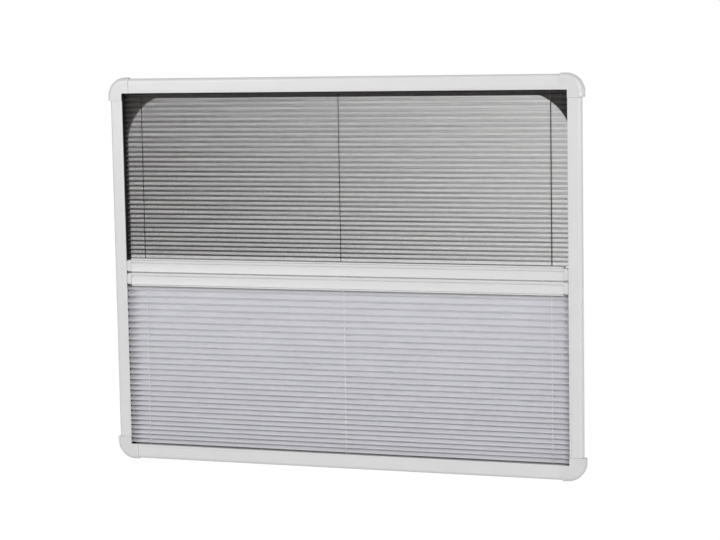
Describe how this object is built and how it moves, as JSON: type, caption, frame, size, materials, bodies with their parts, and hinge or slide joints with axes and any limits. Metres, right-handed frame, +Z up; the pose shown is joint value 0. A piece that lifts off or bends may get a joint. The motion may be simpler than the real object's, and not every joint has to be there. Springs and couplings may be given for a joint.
{
  "type": "pleated day and night window blind",
  "caption": "Framed window cassette with a pleated insect screen above and a pleated blackout below, each on a sliding grip bar.",
  "frame": {"origin": "halfway along the face of the bottom rail that bears on the wall, in the middle of that strip", "axes": "+X to the right seen from the room, +Y from the room into the wall, +Z up"},
  "size_m": [0.7484, 0.0268, 0.5934],
  "materials": {
    "white_coat": "extruded aluminium with a smooth satin white powder coat",
    "white_plastic": "satin moulded plastic, slightly greyer than the rails",
    "black_plastic": "matt black plastic sheet",
    "grey_plastic": "plain moulded plastic",
    "screen_net": "fine charcoal insect net with pressed pleats",
    "blackout_cloth": "opaque light blue-grey polyester with pressed pleats",
    "black_cord": "braided polyester cord, black",
    "white_cord": "braided polyester cord, white",
    "spring_steel": "bright spring wire"
  },
  "bodies": {
    "frame": {"top_rail": "white_coat", "bottom_rail": "white_coat", "left_rail": "white_coat", "right_rail": "white_coat", "corner_cap_top_left": "white_plastic", "corner_cap_top_right": "white_plastic", "corner_cap_bottom_left": "white_plastic", "corner_cap_bottom_right": "white_plastic", "rear_surround": "black_plastic", "screen_holder_strip": "white_plastic", "blackout_holder_strip": "white_plastic", "screen_fabric": "screen_net", "blackout_fabric": "blackout_cloth", "screen_cord_left": "black_cord", "screen_cord_centre": "black_cord", "screen_cord_right": "black_cord", "blackout_cord_left": "white_cord", "blackout_cord_centre": "white_cord", "blackout_cord_right": "white_cord", "screen_cord_stop_left": "grey_plastic", "screen_cord_stop_centre": "grey_plastic", "screen_cord_stop_right": "grey_plastic", "blackout_cord_stop_left": "grey_plastic", "blackout_cord_stop_centre": "grey_plastic", "blackout_cord_stop_right": "grey_plastic", "screen_cord_spring_left": "spring_steel", "screen_cord_spring_centre": "spring_steel", "screen_cord_spring_right": "spring_steel", "blackout_cord_spring_left": "spring_steel", "blackout_cord_spring_centre": "spring_steel", "blackout_cord_spring_right": "spring_steel", "screen_spring_anchor_left": "grey_plastic", "screen_spring_anchor_centre": "grey_plastic", "screen_spring_anchor_right": "grey_plastic", "blackout_spring_anchor_left": "grey_plastic", "blackout_spring_anchor_centre": "grey_plastic", "blackout_spring_anchor_right": "grey_plastic"},
    "screen_bar": {"screen_bar_profile": "white_coat", "screen_clip_strip": "white_plastic", "screen_bar_end_cap_left": "white_plastic", "screen_bar_end_cap_right": "white_plastic", "screen_cord_eyelet_left": "grey_plastic", "screen_cord_eyelet_centre": "grey_plastic", "screen_cord_eyelet_right": "grey_plastic", "screen_exit_eyelet_left": "grey_plastic", "screen_exit_eyelet_centre": "grey_plastic", "screen_exit_eyelet_right": "grey_plastic"},
    "blackout_bar": {"blackout_bar_profile": "white_coat", "blackout_clip_strip": "white_plastic", "blackout_bar_end_cap_left": "white_plastic", "blackout_bar_end_cap_right": "white_plastic", "blackout_cord_eyelet_left": "grey_plastic", "blackout_cord_eyelet_centre": "grey_plastic", "blackout_cord_eyelet_right": "grey_plastic", "blackout_exit_eyelet_left": "grey_plastic", "blackout_exit_eyelet_centre": "grey_plastic", "blackout_exit_eyelet_right": "grey_plastic"}
  },
  "joints": [
    {"name": "screen_bar_slide", "type": "slide", "parent": "frame", "child": "screen_bar", "axis": [0, 0, 1], "range_m": [0, 0.234], "deforming": ["screen_fabric", "screen_cord_left", "screen_cord_centre", "screen_cord_right"]},
    {"name": "blackout_bar_slide", "type": "slide", "parent": "frame", "child": "blackout_bar", "axis": [0, 0, 1], "range_m": [-0.227, 0], "deforming": ["blackout_fabric", "blackout_cord_left", "blackout_cord_centre", "blackout_cord_right"]}
  ]
}
